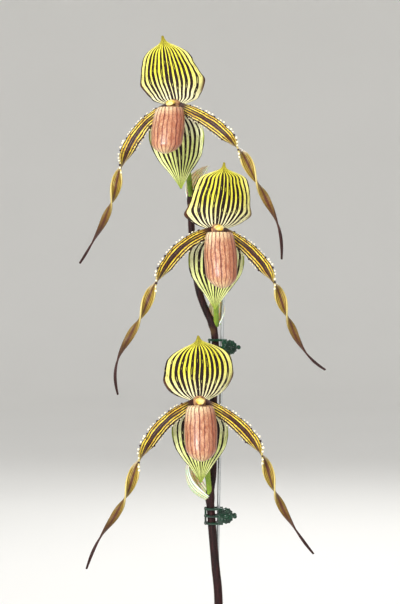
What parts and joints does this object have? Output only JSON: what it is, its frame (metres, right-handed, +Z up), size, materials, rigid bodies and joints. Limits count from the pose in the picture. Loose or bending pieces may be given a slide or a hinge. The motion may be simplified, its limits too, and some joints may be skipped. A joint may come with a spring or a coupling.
{
  "type": "potted slipper orchid",
  "caption": "Slipper orchid in a clay pot: strap leaves, a tall dark stem of striped long-petalled blooms, and a wire stake held by spring clips.",
  "frame": {"origin": "centre of the pot's underside", "axes": "+Z up along the pot's axis, the blooms face -Y, +X to the viewer's right"},
  "size_m": [0.4011, 0.1342, 0.5414],
  "materials": {
    "clay": "unglazed, dry",
    "bark": "rough chips",
    "leaf": "waxy, satin",
    "stem": "finely haired",
    "sepal": "satin, dark stripes",
    "petal": "satin, banded and spotted",
    "pouch": "waxy, netted veins",
    "column": "waxy",
    "ovary": "finely haired, ribbed",
    "bract": "thin, striped",
    "wire": "drawn wire",
    "clip": "moulded, glossy"
  },
  "bodies": {
    "plant": {"pot": "clay", "potting_bark": "bark", "crown": "leaf", "leaf_1": "leaf", "leaf_2": "leaf", "leaf_3": "leaf", "leaf_4": "leaf", "leaf_5": "leaf", "leaf_6": "leaf", "flower_stem": "stem", "stake": "wire", "dorsal_sepal_upper": "sepal", "synsepal_upper": "sepal", "petal_left_upper": "petal", "petal_right_upper": "petal", "pouch_upper": "pouch", "column_upper": "column", "ovary_upper": "ovary", "bract_upper": "bract", "dorsal_sepal_middle": "sepal", "synsepal_middle": "sepal", "petal_left_middle": "petal", "petal_right_middle": "petal", "pouch_middle": "pouch", "column_middle": "column", "ovary_middle": "ovary", "bract_middle": "bract", "dorsal_sepal_lower": "sepal", "synsepal_lower": "sepal", "petal_left_lower": "petal", "petal_right_lower": "petal", "pouch_lower": "pouch", "column_lower": "column", "ovary_lower": "ovary", "bract_lower": "bract", "clip_front_jaw_upper": "clip", "clip_pin_upper": "wire", "clip_spring_upper": "wire", "clip_front_jaw_lower": "clip", "clip_pin_lower": "wire", "clip_spring_lower": "wire"},
    "clip_upper_rear": {"clip_rear_jaw_upper": "clip"},
    "clip_lower_rear": {"clip_rear_jaw_lower": "clip"}
  },
  "joints": [
    {"name": "clip_upper_open", "type": "hinge", "parent": "plant", "child": "clip_upper_rear", "pos_m": [0.0069, -0.0007, 0.354], "axis": [0, 0, -1], "range_deg": [0, 30], "stiffness_Nm_per_rad": 0.004},
    {"name": "clip_lower_open", "type": "hinge", "parent": "plant", "child": "clip_lower_rear", "pos_m": [0.0045, -0.0007, 0.249], "axis": [0, 0, -1], "range_deg": [0, 30], "stiffness_Nm_per_rad": 0.004}
  ]
}
